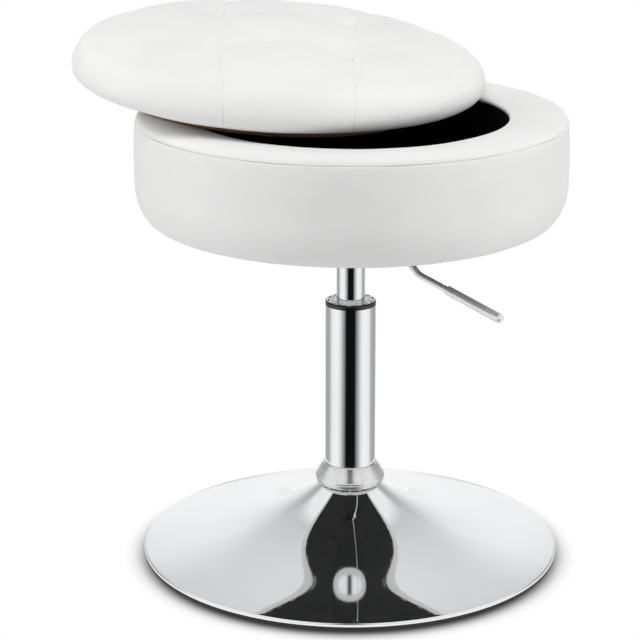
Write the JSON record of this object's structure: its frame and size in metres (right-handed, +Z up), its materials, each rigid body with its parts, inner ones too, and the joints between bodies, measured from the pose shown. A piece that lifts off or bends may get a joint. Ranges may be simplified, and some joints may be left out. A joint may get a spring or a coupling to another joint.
{
  "type": "vanity stool",
  "caption": "Round padded vanity stool with a storage drum and lift-off tufted lid on a swivelling gas-lift chrome column with a trumpet dish base and height lever",
  "frame": {"origin": "on the column's axis at the floor, in the plane of the floor ring's underside", "axes": "+Z up along the column; the front is toward -Y, and the height lever points to the front right, between +X and -Y"},
  "size_m": [0.4809, 0.4637, 0.5269],
  "materials": {
    "chrome": "polished chrome plate",
    "steel": "zinc-plated steel",
    "light_alloy": "turned alloy",
    "brass": "turned brass",
    "black_plastic": "satin black moulding",
    "clear_plastic": "clear glossy moulding",
    "rubber": "matt black rubber",
    "white_leather": "smooth off-white coated fabric with a soft sheen",
    "foam": "upholstery foam",
    "dark_lining": "matt black non-woven lining",
    "board": "plain plywood and fibreboard",
    "walnut": "dark brown satin wood",
    "twine": "waxed twine"
  },
  "bodies": {
    "base": {"base_dish": "chrome", "floor_ring": "rubber", "base_plate": "steel", "base_hub": "steel", "foot_ring": "clear_plastic", "column_tube": "chrome", "guide_bush": "black_plastic", "collar_washer": "steel", "end_plate": "steel", "thrust_washer_lower": "steel", "bearing_cage": "black_plastic", "bearing_balls": "steel"},
    "rod": {"piston_rod": "steel", "piston": "light_alloy", "thrust_washer_upper": "steel", "rod_clip": "steel", "bumper": "rubber"},
    "seat": {"gas_cylinder": "chrome", "rod_guide": "light_alloy", "gas_seal": "rubber", "valve_body": "brass", "seat_plate": "steel", "taper_socket": "steel", "bracket_ears": "steel", "pivot_pin": "steel", "plate_bolts": "steel", "tee_nuts": "steel", "drum_floor": "board", "drum_wall": "board", "inner_wall": "board", "wall_posts": "board", "rim_board": "board", "side_pad": "foam", "rim_pad": "foam", "side_cover": "white_leather", "rim_cover": "white_leather", "liner_wall": "dark_lining", "liner_floor": "dark_lining", "dust_cover": "dark_lining"},
    "lid": {"lid_cover": "white_leather", "lid_foam": "foam", "lid_board": "board", "lid_plug": "walnut", "plug_screws": "steel", "tuft_ties": "twine"},
    "lever": {"lever_rod": "chrome", "lever_grip": "chrome"},
    "pin": {"release_pin": "steel"}
  },
  "joints": [
    {"name": "seat_swivel", "type": "hinge", "parent": "base", "child": "rod", "pos_m": [0, 0, 0.042], "axis": [0, 0, 1], "continuous": true},
    {"name": "seat_lift", "type": "slide", "parent": "rod", "child": "seat", "axis": [0, 0, 1], "range_m": [-0.038, 0.08]},
    {"name": "lid_lift", "type": "slide", "parent": "seat", "child": "lid", "axis": [0, 0, 1], "range_m": [0, 0.25]},
    {"name": "lever_pull", "type": "hinge", "parent": "seat", "child": "lever", "pos_m": [0.02527, -0.02275, 0.332], "axis": [-0.6691, -0.7431, 0], "range_deg": [0, 4], "stiffness_Nm_per_rad": 1},
    {"name": "pin_press", "type": "slide", "parent": "seat", "child": "pin", "axis": [0, 0, -1], "range_m": [0, 0.0024]}
  ],
  "couplings": [
    {"joint": "pin_press", "follows": "lever_pull", "m_per_rad": 0.034}
  ]
}
